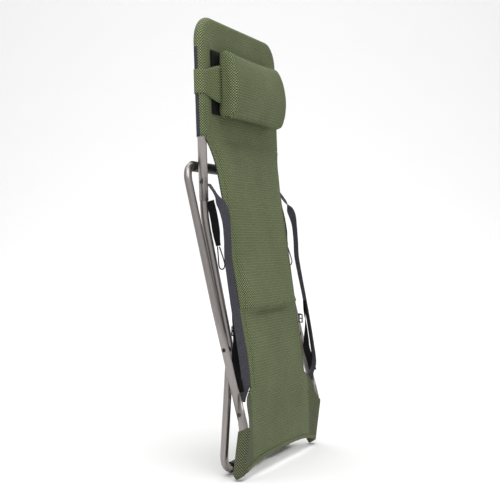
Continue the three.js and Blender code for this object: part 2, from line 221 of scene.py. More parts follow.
def thicken(thing, thickness, offset=0.0):
    """Gives an open surface a thickness in metres."""
    solid = thing.modifiers.new("Thickness", "SOLIDIFY")
    solid.thickness = thickness
    solid.offset = offset
    solid.use_even_offset = True
    return apply_modifiers(thing)


def finish_piece(thing, body, slot, *materials):
    """Materials, slot and body of a finished piece."""
    for item in materials:
        thing.data.materials.append(item)
    if body:
        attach(thing, body)
    return thing


def filleted(corners, radii, degrees=6):
    """Points along straight runs joined by arcs at the inner corners."""
    points = [corners[0]]
    for i in range(1, len(corners) - 1):
        here, radius = corners[i], radii[i - 1]
        to_before = (corners[i - 1] - here).normalized()
        to_after = (corners[i + 1] - here).normalized()
        half = to_before.angle(to_after) / 2
        centre = here + (to_before + to_after).normalized() * (radius / math.sin(half))
        start = here + to_before * (radius / math.tan(half)) - centre
        end = here + to_after * (radius / math.tan(half)) - centre
        turn = math.pi - 2 * half
        steps = max(2, math.ceil(math.degrees(turn) / degrees))
        points += [centre + start.slerp(end, s / steps) * radius for s in range(steps + 1)]
    points.append(corners[-1])
    return points


def frames(points, up):
    """Tangent and two cross directions at each point, carried along without twisting."""
    tangents = []
    for i in range(len(points)):
        before = points[i] - points[i - 1] if i else points[1] - points[0]
        after = points[i + 1] - points[i] if i + 1 < len(points) else before
        tangents.append((before.normalized() + after.normalized()).normalized())
    side = tangents[0].cross(up).normalized()
    result = []
    for tangent in tangents:
        side = (side - tangent * side.dot(tangent)).normalized()
        result.append((tangent, side, side.cross(tangent)))
    return result


def tube(name, points, radius, sides=28, wall=None):
    """A round tube through points, with open ends and a wall."""
    cross = frames(points, Vector((0.3, 1, 0.2)))
    verts, uvs = [], []
    length = 0.0
    for i, point in enumerate(points):
        length += (point - points[i - 1]).length if i else 0.0
        for k in range(sides + 1):
            angle = 2 * math.pi * k / sides
            offset = cross[i][1] * math.cos(angle) + cross[i][2] * math.sin(angle)
            verts.append(point + offset * radius)
            uvs.append((angle * radius, length))
    row = sides + 1
    faces = [
        (i * row + k, i * row + k + 1, (i + 1) * row + k + 1, (i + 1) * row + k)
        for i in range(len(points) - 1)
        for k in range(sides)
    ]
    thing = new_object(name, verts, faces, uvs)
    weld(thing)
    if wall:
        thicken(thing, wall, -1.0)
    return thing


def weld(thing, distance=0.00002):
    """Joins points that lie on each other, and turns all faces outwards."""
    work = bmesh.new()
    work.from_mesh(thing.data)
    bmesh.ops.remove_doubles(work, verts=work.verts, dist=distance)
    bmesh.ops.recalc_face_normals(work, faces=work.faces)
    work.to_mesh(thing.data)
    work.free()


def u_points(x, line, radii):
    """Points of a U tube: the left side's line, across, and back along the right side."""
    left = [place(-x, y, z) for y, z in line]
    right = [place(x, y, z) for y, z in reversed(line)]
    all_radii = [r * MM for r in radii]
    return filleted(left + right, all_radii + all_radii[::-1])


def grid(name, rows, uvs, slots=None):
    """A surface through rows of equal point counts."""
    count = len(rows[0])
    verts = [p for row in rows for p in row]
    faces = [
        (i * count + k, (i + 1) * count + k, (i + 1) * count + k + 1, i * count + k + 1)
        for i in range(len(rows) - 1)
        for k in range(count - 1)
    ]
    return new_object(name, verts, faces, uvs, slots)


def ribbon(name, points, across, width, thickness):
    """A flat strap: its width direction is given at each point."""
    verts, uvs, length = [], [], 0.0
    for i, point in enumerate(points):
        length += (point - points[i - 1]).length if i else 0.0
        for share in (-1.0, -0.94, -0.5, 0.0, 0.5, 0.94, 1.0):
            verts.append(point + across[i] * (share * width[i] / 2))
            uvs.append((share * width[i] / 2, length))
    faces = [
        (i * 7 + k, (i + 1) * 7 + k, (i + 1) * 7 + k + 1, i * 7 + k + 1)
        for i in range(len(points) - 1)
        for k in range(6)
    ]
    thing = new_object(name, verts, faces, uvs)
    return thicken(thing, thickness)


def resample(line, count):
    """Evenly spaced points on a smooth curve through [Y, Z] points that only go down."""
    high, low = line[0][1], line[-1][1]
    dense = [high + (low - high) * i / 400 for i in range(401)]
    points = [(along(line, z), z) for z in dense]
    steps = [math.dist(points[i], points[i + 1]) for i in range(400)]
    total, result, k, gone = sum(steps), [], 0, 0.0
    for i in range(count):
        goal = total * i / (count - 1)
        while k < 399 and gone + steps[k] < goal:
            gone += steps[k]
            k += 1
        t = (goal - gone) / steps[k]
        a, b = points[k], points[k + 1]
        result.append((a[0] + (b[0] - a[0]) * t, a[1] + (b[1] - a[1]) * t))
    return result


# ---------------------------------------------------------------- materials


def connect(item, inputs):
    """Sets a node's inputs: each is a value, another node's output, or a node, for its first output."""
    for key, value in inputs.items():
        if isinstance(value, bpy.types.Node):
            value = value.outputs[0]
        if isinstance(value, bpy.types.NodeSocket):
            item.id_data.links.new(value, item.inputs[key])
        else:
            item.inputs[key].default_value = value


def add(tree, kind, inputs=None, stops=(), **settings):
    """Adds a node with its settings and inputs; a colour ramp's stops are (place, colour) pairs."""
    item = tree.nodes.new(kind)
    for key, value in settings.items():
        setattr(item, key, value)
    for _ in stops[2:]:
        item.color_ramp.elements.new(0.5)
    for element, (position, colour) in zip(item.color_ramp.elements if stops else (), stops):
        element.position = position
        element.color = (*colour, 1)
    connect(item, inputs or {})
    return item


def blank(name):
    """A material with its tree and shader, ready for links."""
    item = bpy.data.materials.new(name)
    item.use_nodes = True
    return item, item.node_tree, item.node_tree.nodes["Principled BSDF"]


def metric_uv(tree):
    """The UV map in millimetres, as two outputs."""
    uv = add(tree, "ShaderNodeUVMap", uv_map="UVMap")
    scaled = add(tree, "ShaderNodeVectorMath", {0: uv, 1: (1000, 1000, 1000)}, operation="MULTIPLY")
    parts = add(tree, "ShaderNodeSeparateXYZ", {0: scaled})
    return parts.outputs[0], parts.outputs[1]


def mesh_cloth(name, dark, middle, pale, pitch):
    """PVC-coated polyester mesh, basket woven on the bias: small pale threads over dark ones give
    a diagonal sparkle close up and an even olive from afar. The pitch is the real 2 to 3 mm
    thread spacing drawn a little coarser, so that it still shows at the picture's size."""
    item, tree, shader = blank(name)
    u, v = metric_uv(tree)
    turn = math.sqrt(2) * math.pi / pitch
    warp_turn = add(tree, "ShaderNodeMath", {0: u, 1: turn}, operation="MULTIPLY")
    warp = add(tree, "ShaderNodeMath", {0: warp_turn}, operation="SINE")
    weft_turn = add(tree, "ShaderNodeMath", {0: v, 1: turn}, operation="MULTIPLY")
    weft = add(tree, "ShaderNodeMath", {0: weft_turn}, operation="SINE")
    cells = add(tree, "ShaderNodeMath", {0: warp, 1: weft}, operation="MULTIPLY")
    cells_part = add(tree, "ShaderNodeMath", {0: cells, 1: 0.85}, operation="MULTIPLY")
    rows_part = add(tree, "ShaderNodeMath", {0: weft, 1: 0.1}, operation="MULTIPLY")
    over = add(tree, "ShaderNodeMath", {0: cells_part, 1: rows_part}, operation="ADD")
    along_cloth = add(tree, "ShaderNodeUVMap", uv_map="UVMap")
    fine = add(tree, "ShaderNodeTexNoise", {"Vector": along_cloth, "Scale": 260.0, "Detail": 2.0})
    where = add(tree, "ShaderNodeTexCoord").outputs["Object"]
    broad = add(tree, "ShaderNodeTexNoise", {"Vector": where, "Scale": 9.0, "Detail": 3.0})
    weave = add(tree, "ShaderNodeMath", {0: over, 1: 0.55}, operation="MULTIPLY")
    fibre = add(tree, "ShaderNodeMath", {0: fine, 1: 0.3}, operation="MULTIPLY")
    mixed = add(tree, "ShaderNodeMath", {0: weave, 1: fibre}, operation="ADD")
    fade = add(tree, "ShaderNodeMath", {0: broad, 1: 0.16}, operation="MULTIPLY")
    lifted = add(tree, "ShaderNodeMath", {0: fade, 1: 0.2}, operation="ADD")
    factor = add(tree, "ShaderNodeMath", {0: mixed, 1: lifted}, operation="ADD")
    colour = add(tree, "ShaderNodeValToRGB", {0: factor},
                 stops=[(0.06, dark), (0.42, middle), (0.86, pale)])
    relief = add(tree, "ShaderNodeBump", {"Height": over, "Distance": 0.0004, "Strength": 0.6})
    connect(shader, {"Base Color": colour, "Roughness": 0.7,
                     "Specular IOR Level": 0.12, "Normal": relief})
    return item


def webbing(name, dark, pale, rib):
    """Woven polyester, as webbing, lining or sewing thread: fine ribs across its length and a
    matt face. The rib is its spacing in millimetres."""
    item, tree, shader = blank(name)
    u, v = metric_uv(tree)
    rib_turn = add(tree, "ShaderNodeMath", {0: v, 1: 2 * math.pi / rib}, operation="MULTIPLY")
    ribs = add(tree, "ShaderNodeMath", {0: rib_turn}, operation="SINE")
    thread_turn = add(tree, "ShaderNodeMath", {0: u, 1: 2 * math.pi / (rib * 1.4)},
                      operation="MULTIPLY")
    threads = add(tree, "ShaderNodeMath", {0: thread_turn}, operation="SINE")
    weave = add(tree, "ShaderNodeMath", {0: ribs, 1: threads}, operation="MULTIPLY")
    where = add(tree, "ShaderNodeTexCoord").outputs["Object"]
    speck = add(tree, "ShaderNodeTexNoise", {"Vector": where, "Scale": 420.0})
    shown = add(tree, "ShaderNodeMath", {0: weave, 1: 0.3}, operation="MULTIPLY")
    factor = add(tree, "ShaderNodeMath", {0: shown, 1: speck}, operation="ADD")
    colour = add(tree, "ShaderNodeValToRGB", {0: factor}, stops=[(0.2, dark), (0.8, pale)])
    relief = add(tree, "ShaderNodeBump", {"Height": weave, "Distance": 0.0003, "Strength": 0.6})
    connect(shader, {"Base Color": colour, "Roughness": 0.8,
                     "Specular IOR Level": 0.15, "Normal": relief})
    return item


def tube_metal(name, base, light):
    """Aluminium tube, drawn and clear anodised in titanium grey: a satin sheen with fine lines
    along the tube and faint handling marks in its roughness."""
    item, tree, shader = blank(name)
    u, v = metric_uv(tree)
    around = add(tree, "ShaderNodeMath", {0: u, 1: 2.2}, operation="MULTIPLY")
    lengthwise = add(tree, "ShaderNodeMath", {0: v, 1: 0.02}, operation="MULTIPLY")
    lines = add(tree, "ShaderNodeCombineXYZ", {0: around, 1: lengthwise})
    drawn = add(tree, "ShaderNodeTexNoise", {"Vector": lines, "Scale": 1.6, "Detail": 3.0})
    where = add(tree, "ShaderNodeTexCoord").outputs["Object"]
    marks = add(tree, "ShaderNodeTexNoise", {"Vector": where, "Scale": 38.0, "Detail": 4.0})
    colour = add(tree, "ShaderNodeValToRGB", {0: drawn}, stops=[(0.25, base), (0.75, light)])
    spread = add(tree, "ShaderNodeMapRange", {"Value": marks, "To Min": 0.26, "To Max": 0.4})
    relief = add(tree, "ShaderNodeBump", {"Height": drawn, "Distance": 0.00004, "Strength": 0.35})
    connect(shader, {"Base Color": colour, "Metallic": 1.0, "Roughness": spread, "Normal": relief})
    return item


def moulded_plastic(name, base, light):
    """Polypropylene, injection moulded with a spark-eroded grain: matt black with soft glints."""
    item, tree, shader = blank(name)
    where = add(tree, "ShaderNodeTexCoord").outputs["Object"]
    grain = add(tree, "ShaderNodeTexNoise", {"Vector": where, "Scale": 900.0, "Detail": 2.0})
    wear = add(tree, "ShaderNodeTexNoise", {"Vector": where, "Scale": 45.0, "Detail": 4.0})
    colour = add(tree, "ShaderNodeValToRGB", {0: wear}, stops=[(0.3, base), (0.8, light)])
    spread = add(tree, "ShaderNodeMapRange", {"Value": wear, "To Min": 0.42, "To Max": 0.6})
    relief = add(tree, "ShaderNodeBump", {"Height": grain, "Distance": 0.0001, "Strength": 0.4})
    connect(shader, {"Base Color": colour, "Roughness": spread, "Normal": relief})
    return item


def plated_steel(name, base, light):
    """Steel rivets, cold headed and dark zinc plated: dull metal with small bright rubs."""
    item, tree, shader = blank(name)
    where = add(tree, "ShaderNodeTexCoord").outputs["Object"]
    rubs = add(tree, "ShaderNodeTexNoise", {"Vector": where, "Scale": 160.0, "Detail": 3.0})
    colour = add(tree, "ShaderNodeValToRGB", {0: rubs}, stops=[(0.35, base), (0.75, light)])
    spread = add(tree, "ShaderNodeMapRange", {"Value": rubs, "To Min": 0.3, "To Max": 0.55})
    connect(shader, {"Base Color": colour, "Metallic": 1.0, "Roughness": spread})
    return item


def painted_board(name, colour):
    """Matt painted studio board: an even, pale ground with no gloss."""
    item, tree, shader = blank(name)
    where = add(tree, "ShaderNodeTexCoord").outputs["Object"]
    mottle = add(tree, "ShaderNodeTexNoise", {"Vector": where, "Scale": 2.0})
    tone = [c * 0.995 for c in colour]
    shade = add(tree, "ShaderNodeValToRGB", {0: mottle}, stops=[(0.3, tone), (0.7, colour)])
    connect(shader, {"Base Color": shade, "Roughness": 0.95, "Specular IOR Level": 0.1})
    return item


MATERIALS = {}


def make_materials(chair):
    """All finishes of the chair, from its settings."""
    MATERIALS["mesh"] = mesh_cloth("pvc_coated_polyester_mesh", linear("#2b351f"),
                                   tuple(chair.mesh_colour), linear("#9ca27c"), chair.mesh_pitch / MM)
    # The corner mesh is darker and greyer than the face: partly from the doubled cloth, partly painted shade
    # on the turned corners and pockets.
    MATERIALS["corner"] = mesh_cloth("doubled_mesh_painted_shade", linear("#23281b"), linear("#434735"),
                                     linear("#868a6b"), chair.mesh_pitch / MM)
    MATERIALS["thread"] = webbing("bonded_nylon_thread", linear("#20241a"), linear("#3d4430"), 0.8)
    MATERIALS["lining"] = webbing("slate_polyester_lining", linear("#2f3138"), linear("#45474f"), 1.6)
    MATERIALS["grey"] = webbing("slate_polyester_webbing", linear("#2e2e34"), tuple(chair.strap_colour), 2.2)
    MATERIALS["black"] = webbing("black_polyester_webbing", linear("#060606"), linear("#141415"), 2.0)
    MATERIALS["tube"] = tube_metal("anodised_aluminium_tube", tuple(chair.tube_colour), linear("#a8a2a0"))
    MATERIALS["plastic"] = moulded_plastic("moulded_polypropylene", linear("#0a0a0a"), linear("#19191a"))
    MATERIALS["steel"] = plated_steel("dark_plated_steel", linear("#2e2c2b"), linear("#77736f"))


# ---------------------------------------------------------------- pieces


def make_tubes():
    """The three U tubes and the two arm tubes."""
    pieces = [
        ("back_tube", "back_frame_tube", "back_frame", u_points(BACK_X, BACK_LINE, [BACK_CORNER]), LARGE_R),
        ("front_leg_loop", "front_leg_tube", "back_frame",
         u_points(BACK_X, LOWER_LINE, [300, 150, FOOT_CORNER]), SMALL_R),
        ("rear_leg_loop", "rear_leg_tube", "seat_frame",
         u_points(LEG_X, REAR_LINE, [800, REAR_CORNER]), SMALL_R),
    ]
    for name, node, body, points, radius in pieces:
        thing = tube(name, points, radius * MM, wall=WALL * MM)
        finish_piece(thing, body, "frame_tube", MATERIALS["tube"])
        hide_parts(node)
    for word, side in SIDES:
        corners = [place(side * LEG_X, y, z) for y, z in ARM_LINE]
        thing = tube(f"arm_tube_{word}", filleted(corners, [60 * MM]), LARGE_R * MM, wall=WALL * MM)
        slant_mouth(thing, side)
        finish_piece(thing, "seat_frame", "frame_tube", MATERIALS["tube"])
        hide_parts(f"front_arm_{word}")


def slant_mouth(thing, side):
    """Cuts the arm tube's upper end on a long slant, low at the rear."""
    work = bmesh.new()
    work.from_mesh(thing.data)
    front = place(side * LEG_X, arm_y(200) - LARGE_R, 200)
    rear = place(side * LEG_X, arm_y(122) + LARGE_R, 122)
    normal = Vector((1, 0, 0)).cross(rear - front).normalized()
    if normal.z < 0:
        normal = -normal
    geometry = work.verts[:] + work.edges[:] + work.faces[:]
    bmesh.ops.bisect_plane(work, geom=geometry, plane_co=front, plane_no=normal, clear_outer=True)
    border = [e for e in work.edges if e.is_boundary]
    bmesh.ops.holes_fill(work, edges=border)
    bmesh.ops.recalc_face_normals(work, faces=work.faces)
    work.to_mesh(thing.data)
    work.free()


def sling_half_width(z):
    """Half the sling's width at a height, from the sleeve to the flare at the arms."""
    if z > BACK_LINE[1][1] - BACK_CORNER:
        rise = min(z - (BACK_LINE[1][1] - BACK_CORNER), BACK_CORNER)
        return BACK_X - BACK_CORNER + math.sqrt(BACK_CORNER**2 - rise**2)
    if z >= SLEEVE_END:
        return BACK_X
    waist = WAIST + (SEAT_WAIST - WAIST) * smooth((442 - z) / 160)
    shoulder = 50 * math.exp(-(((SLEEVE_END - z) / 45) ** 0.9))
    flare = 50 * (1 - math.exp(-max(SEAT_FLARE - z, 0) / 14)) + 19 * smooth((150 - z) / 35)
    return waist + shoulder + flare


def hem_z(x):
    """Height of the front hem, which hangs lowest at the arms."""
    return HEM_MIDDLE - 25 * (abs(x) / LEG_X) ** 3.5


def sling_y(x, z):
    """Y of the sling's face: tight under the sleeve, with a soft bulge, a crease and ripples."""
    if z >= SLEEVE_END:
        y = back_y(z) - SLEEVE_R
    else:
        y = along(SLING_LINE, z)
    width = sling_half_width(z)
    middle = max(1 - (x / width) ** 2, 0)
    free = smooth((830 - z) / 90)
    turned_back = smooth((abs(x) - width + 62) / 62)
    y += (9 * turned_back**2 - 6) * free * smooth((z - 150) / 80)
    y -= BULGE * smooth((530 - z) / 110) * smooth((z - 388) / 13) * smooth((width - abs(x + 15)) / 60)
    y -= SIDE_BUMP * math.exp(-(((z - 394) / 13) ** 2)) * math.exp(-(((x - 146) / 18) ** 2))
    y += CREASE * math.exp(-(((z - 384) / 7) ** 2)) * smooth((130 - abs(x + 20)) / 60)
    fade = free * smooth(middle * 4)
    y += RIPPLE * noise.noise(Vector((x / 120, z / 70, 3.0))) * fade
    if z < SEAT_FLARE + 20:
        reach = smooth((abs(x) - 200) / (LEG_X - 200))
        ease = smooth((SEAT_FLARE + 20 - z) / 40)
        y += (arm_y(z) - POCKET_R - y) * reach * ease
    return y


def sling_heights():
    """Rows from the top tube down to where the hem's shape begins."""
    corner = BACK_LINE[1][1] - BACK_CORNER
    top = [corner + BACK_CORNER * math.sin(math.pi / 2 * (12 - i) / 12) for i in range(12)]
    straight = [corner + (SLEEVE_END - corner) * i / 26 for i in range(26)]
    lower = [SLEEVE_END + (120 - SLEEVE_END) * i / 190 for i in range(191)]
    return top + straight + lower


def sling_rows(columns):
    """Points and UVs of the sling's face, row by row."""
    rows, uvs = [], []
    shares = [-1 + 2 * k / columns for k in range(columns + 1)]
    for z in sling_heights():
        width = sling_half_width(z)
        rows.append([wrapped(share * width, z) for share in shares])
        uvs += [(share * width * MM, z * MM) for share in shares]
    for i in range(1, 15):
        row = []
        for share in shares:
            x = share * LEG_X
            z = 120 + (hem_z(x) - 120) * i / 14
            row.append(place(x, sling_y(x, z), z))
            uvs.append((x * MM, z * MM))
        rows.append(row)
    return rows, uvs


def wrapped(x, z):
    """A point of the sling, turned round the back tube where it is wider than the tube's line."""
    beyond = abs(x) - BACK_X
    if beyond <= 0 or z < SEAT_FLARE + 40:
        return place(x, sling_y(x, z), z)
    angle = beyond / SLEEVE_R
    side = math.copysign(1, x)
    centre = sling_y(side * BACK_X, z) + SLEEVE_R
    return place(side * (BACK_X + SLEEVE_R * math.sin(angle)), centre - SLEEVE_R * math.cos(angle), z)


def make_sling():
    """The sewn sling: face, sleeve, side bindings, corner pockets and front hem."""
    rows, uvs = sling_rows(72)
    sheet = grid("sling_sheet", rows, uvs)
    weld(sheet)
    # The sheet's low outer corners take the corner mesh, whose darker colour is partly painted shade.
    low_corner = place(0, 0, 215).z
    for face in sheet.data.polygons:
        if abs(face.center.x) > 0.207 and face.center.z < low_corner:
            face.material_index = 1
    thicken(sheet, MESH_T)
    finish_piece(sheet, None, "sling_mesh", MATERIALS["mesh"], MATERIALS["corner"])
    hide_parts("sling_back", "sling_seat")
    bend_at_fold(sheet)
    make_sleeve()
    for word, side in SIDES:
        make_binding(word, side)
        make_pocket(word, side)
    make_front_hem()


def bend_at_fold(thing):
    """Cloth above the crossing keeps to the back frame, below it to the seat frame."""
    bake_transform(thing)


def make_sleeve():
    """The sleeve round the back tube: mesh in front and round the top, slate lining behind."""
    points = u_points(BACK_X, [(back_y(SLEEVE_END), SLEEVE_END), BACK_LINE[1]], [BACK_CORNER])
    thing = tube("sling_sleeve", subdivided(points, 12 * MM), SLEEVE_R * MM, sides=32)
    seam_height = place(0, 0, 1022).z
    for face in thing.data.polygons:
        rear = face.normal.y > -0.12 and abs(face.normal.z) < 0.9
        face.material_index = 1 if rear and face.center.z < seam_height else 0
    thicken(thing, SLEEVE_T)
    finish_piece(thing, "back_frame", "sling_mesh", MATERIALS["mesh"], MATERIALS["lining"])
    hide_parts("back_sleeve")


def subdivided(points, step):
    """The same path with no stretch longer than a step."""
    result = [points[0]]
    for a, b in zip(points, points[1:]):
        count = max(1, math.ceil((b - a).length / step))
        result += [a.lerp(b, i / count) for i in range(1, count + 1)]
    return result


def make_binding(word, side):
    """The slate strip sewn behind each free edge of the sling."""
    rows, uvs = [], []
    for z in [h for h in sling_heights() if 196 < h < SLEEVE_END - 4]:
        width = sling_half_width(z)
        row = []
        for inward in (-1.4, 0, 6, 12, 18, 22):
            x = side * (width - inward)
            point = wrapped(x, z)
            point.y += 1.7 * MM
            row.append(point)
            uvs.append((inward * MM, z * MM))
        rows.append(row)
    thing = grid(f"edge_binding_{word}", rows, uvs)
    thicken(thing, MESH_T)
    finish_piece(thing, None, "armrest_webbing", MATERIALS["lining"])
    bend_at_fold(thing)


def make_pocket(word, side):
    """The corner pocket round the arm tube, cut on a slant at its foot."""
    sides, steps = 28, 18
    rows, uvs = [], []
    for i in range(steps + 1):
        row = []
        for k in range(sides + 1):
            angle = 2 * math.pi * k / sides
            out, fore = math.cos(angle), math.sin(angle)
            top = 119 - 5 * fore
            foot = 0.8 + 10 * smooth((1 - fore) / 2)
            z = top + (foot - top) * (i / steps)
            pinch = 1 - 0.4 * smooth((13 - z) / 13)
            x = side * LEG_X + POCKET_R * out * (1 - 0.2 * smooth((13 - z) / 13))
            y = arm_y(z) - POCKET_R + POCKET_R * (1 + fore) * pinch
            row.append(place(x, y, z))
            uvs.append((angle * POCKET_R * MM, z * MM))
        rows.append(row)
    thing = grid(f"sling_pocket_{word}", rows, uvs)
    work = bmesh.new()
    work.from_mesh(thing.data)
    bmesh.ops.remove_doubles(work, verts=work.verts, dist=0.00002)
    foot = [e for e in work.edges if e.is_boundary and e.verts[0].co.z < place(0, 0, 60).z]
    bmesh.ops.holes_fill(work, edges=foot)
    bmesh.ops.recalc_face_normals(work, faces=work.faces)
    work.to_mesh(thing.data)
    work.free()
    thicken(thing, DOUBLED_T, -1.0)
    # The pocket takes the corner mesh, which is darkened partly by painted shade.
    finish_piece(thing, "seat_frame", "sling_mesh", MATERIALS["corner"])
    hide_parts(f"seat_pocket_{word}")


def stitch_row(name, points, pitch=5.2 * MM, length=3.6 * MM, radius=0.42 * MM):
    """A row of thread stitches along a path, each a small plump capsule."""
    path, gone = [points[0]], [0.0]
    for point in points[1:]:
        gone.append(gone[-1] + (point - path[-1]).length)
        path.append(point)

    def at(distance):
        k = max(i for i in range(len(gone)) if gone[i] <= distance or i == 0)
        k = min(k, len(path) - 2)
        return path[k].lerp(path[k + 1], (distance - gone[k]) / (gone[k + 1] - gone[k]))

    verts, faces = [], []
    for n in range(int(gone[-1] / pitch)):
        start, end = at(n * pitch), at(n * pitch + length)
        ahead = (end - start).normalized()
        side = ahead.cross(Vector((0.2, 1, 0.1))).normalized()
        up = side.cross(ahead)
        base = len(verts)
        for share, swell in ((0.0, 0.25), (0.2, 1.0), (0.8, 1.0), (1.0, 0.25)):
            for k in range(6):
                angle = math.pi * k / 3
                out = side * math.cos(angle) + up * math.sin(angle)
                verts.append(start.lerp(end, share) + out * radius * swell)
        for ring in range(3):
            for k in range(6):
                a, b = base + ring * 6 + k, base + ring * 6 + (k + 1) % 6
                faces.append((a, b, b + 6, a + 6))
        faces += [tuple(base + k for k in range(5, -1, -1)), tuple(base + 18 + k for k in range(6))]
    thing = new_object(name, verts, faces)
    weld(thing, 0.000001)
    return thing


def make_stitching():
    """The thread seams: down both edges of the sling, beside the sleeve, and along the hem."""
    heights = [SLEEVE_END - 8 - 4 * i for i in range(150)]
    for word, side in SIDES:
        edge = [wrapped(side * (sling_half_width(z) - EDGE_SEAM_IN), z) for z in heights]
        seam = stitch_row(f"edge_seam_{word}", [p - Vector((0, THREAD_PROUD * MM, 0)) for p in edge])
        finish_piece(seam, None, "armrest_webbing", MATERIALS["thread"])
        bend_at_fold(seam)
        x = side * SLEEVE_SEAM_X
        sleeve = [place(x, sling_y(x, z) - THREAD_PROUD, z) for z in range(826, 1030, 4)]
        seam = stitch_row(f"sleeve_seam_{word}", sleeve)
        finish_piece(seam, "back_frame", "sling_mesh", MATERIALS["thread"])
    hem = []
    for i in range(101):
        x = -LEG_X * 0.9 + LEG_X * 1.8 * i / 100
        z = hem_z(x) + 9.5
        hem.append(place(x, sling_y(x, z) - 1.9, z))
    seam = stitch_row("hem_seam", hem)
    finish_piece(seam, "seat_frame", "sling_mesh", MATERIALS["thread"])


def make_front_hem():
    """The turned and stitched hem along the sling's front edge."""
    points, across, width = [], [], []
    for i in range(61):
        x = -LEG_X * 0.94 + LEG_X * 1.88 * i / 60
        z = hem_z(x) + 5
        points.append(place(x, sling_y(x, z) - 1.1, z))
        across.append(Vector((0, 0, 1)))
        width.append(0.011)
    thing = ribbon("front_hem", points, across, width, MESH_T)
    finish_piece(thing, "seat_frame", "sling_mesh", MATERIALS["mesh"])


PAD_OUTLINE = [
    (76.0, 862.0), (76.5, 938.0), (76.0, 1012.0), (67.0, 1020.0), (50.0, 1015.0), (38.0, 990.0),
    (30.0, 960.0), (26.5, 930.0), (27.0, 905.0), (31.0, 878.0), (38.0, 859.0), (52.0, 854.0),
    (67.0, 856.0),
]
PAD_HALF = 178.0
PAD_MIDDLE = (54.0, 937.0)


def closed_curve(points, steps):
    """A smooth closed outline through [Y, Z] points."""
    count, result = len(points), []
    for i in range(count):
        p0, p1, p2, p3 = (points[(i + k - 1) % count] for k in range(4))
        for n in range(steps):
            t = n / steps
            result.append(tuple(
                0.5 * (2 * b + (c - a) * t + (2 * a - 5 * b + 4 * c - d) * t**2
                       + (3 * b - a - 3 * c + d) * t**3)
                for a, b, c, d in zip(p0, p1, p2, p3)
            ))
    return result


def pad_ring(x, shrink):
    """One ring of the pad across X; near the ends it shrinks towards its middle."""
    ring = []
    for y, z in closed_curve(PAD_OUTLINE, 4):
        y = PAD_MIDDLE[0] + (y - PAD_MIDDLE[0]) * shrink
        z = PAD_MIDDLE[1] + (z - PAD_MIDDLE[1]) * (1 - (1 - shrink) * 0.35)
        ring.append(place(x, y, z))
    return ring


def make_pad():
    """The stuffed headrest pad, swollen by a short cloth simulation."""
    inner = [(-PAD_HALF + 9) + (2 * PAD_HALF - 18) * i / 36 for i in range(37)]
    left = [(-PAD_HALF + 9 * (1 - math.cos(math.radians(a))), 0.82 + 0.18 * math.sin(math.radians(a)))
            for a in (0, 22, 45, 67)]
    stations = left + [(x, 1.0) for x in inner] + [(-x, shrink) for x, shrink in reversed(left)]
    rings = [pad_ring(x, shrink) for x, shrink in stations]
    size = len(rings[0])
    verts = [p for ring in rings for p in ring]
    faces = [
        (i * size + k, i * size + (k + 1) % size, (i + 1) * size + (k + 1) % size, (i + 1) * size + k)
        for i in range(len(rings) - 1)
        for k in range(size)
    ]
    last = (len(rings) - 1) * size
    faces += [tuple(range(size - 1, -1, -1)), tuple(last + k for k in range(size))]
    thing = new_object("headrest_cushion", verts, faces)
    weld(thing)
    inflate(thing, cap=4 * MM, keep_behind=place(0, 77.5, 0).y)
    smooth_mod = thing.modifiers.new("Fine", "SUBSURF")
    smooth_mod.levels = 1
    apply_modifiers(thing)
    pad_seams(thing)
    thing.data.polygons.foreach_set("use_smooth", [True] * len(thing.data.polygons))
    box_uv(thing)
    finish_piece(thing, "headrest", "sling_mesh", MATERIALS["mesh"])
    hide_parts("headrest_pad")


def inflate(thing, cap, keep_behind):
    """Remeshes and swells a pad, and keeps every point within a distance of where it was."""
    remesh = thing.modifiers.new("Even", "REMESH")
    remesh.mode = "VOXEL"
    remesh.voxel_size = 0.005
    apply_modifiers(thing)
    before = [v.co.copy() for v in thing.data.vertices]
    cloth = thing.modifiers.new("Swell", "CLOTH")
    cloth.settings.use_pressure = True
    cloth.settings.uniform_pressure_force = 4.0
    cloth.settings.effector_weights.gravity = 0.0
    cloth.point_cache.frame_start = 1
    cloth.point_cache.frame_end = 20
    scene = bpy.context.scene
    for number in range(1, 21):
        scene.frame_set(number)
    apply_modifiers(thing)
    for vertex, start in zip(thing.data.vertices, before):
        move = vertex.co - start
        if move.length > cap:
            vertex.co = start + move * (cap / move.length)
        vertex.co.y = min(vertex.co.y, keep_behind)
    scene.frame_set(1)


def pad_seams(thing):
    """A seam round each end panel of the pad, pulled in a little."""
    centre = place(0, *PAD_MIDDLE)
    seam = (PAD_HALF - 10) * MM
    for vertex in thing.data.vertices:
        pull = 1 - 0.035 * smooth(1 - abs(abs(vertex.co.x) - seam) / (3.5 * MM))
        vertex.co.y = centre.y + (vertex.co.y - centre.y) * pull
        vertex.co.z = centre.z + (vertex.co.z - centre.z) * pull


def box_uv(thing):
    """UVs in metres from the side that each face looks to."""
    mesh = thing.data
    layer = mesh.uv_layers.get("UVMap") or mesh.uv_layers.new(name="UVMap")
    for face in mesh.polygons:
        x, _, z = (abs(c) for c in face.normal)
        for loop in face.loop_indices:
            co = mesh.vertices[mesh.loops[loop].vertex_index].co
            if x > 0.8:
                layer.data[loop].uv = (co.y, co.z)
            elif z > 0.85:
                layer.data[loop].uv = (co.x, co.y)
            else:
                layer.data[loop].uv = (co.x, co.z)


def make_backing():
    """The black backing sewn behind the pad; it shows as a flap past each end."""
    rows, uvs = [], []
    for i in range(33):
        x = -209 + 418 * i / 32
        row = []
        for k in range(15):
            z = 861 + 155 * k / 14
            row.append(place(x, back_y(z) - SLEEVE_R - 3.2, z))
            uvs.append((z * MM, x * MM))
        rows.append(row)
    thing = grid("headrest_backing", rows, uvs)
    thicken(thing, DOUBLED_T)
    finish_piece(thing, "headrest", "black_webbing", MATERIALS["black"])


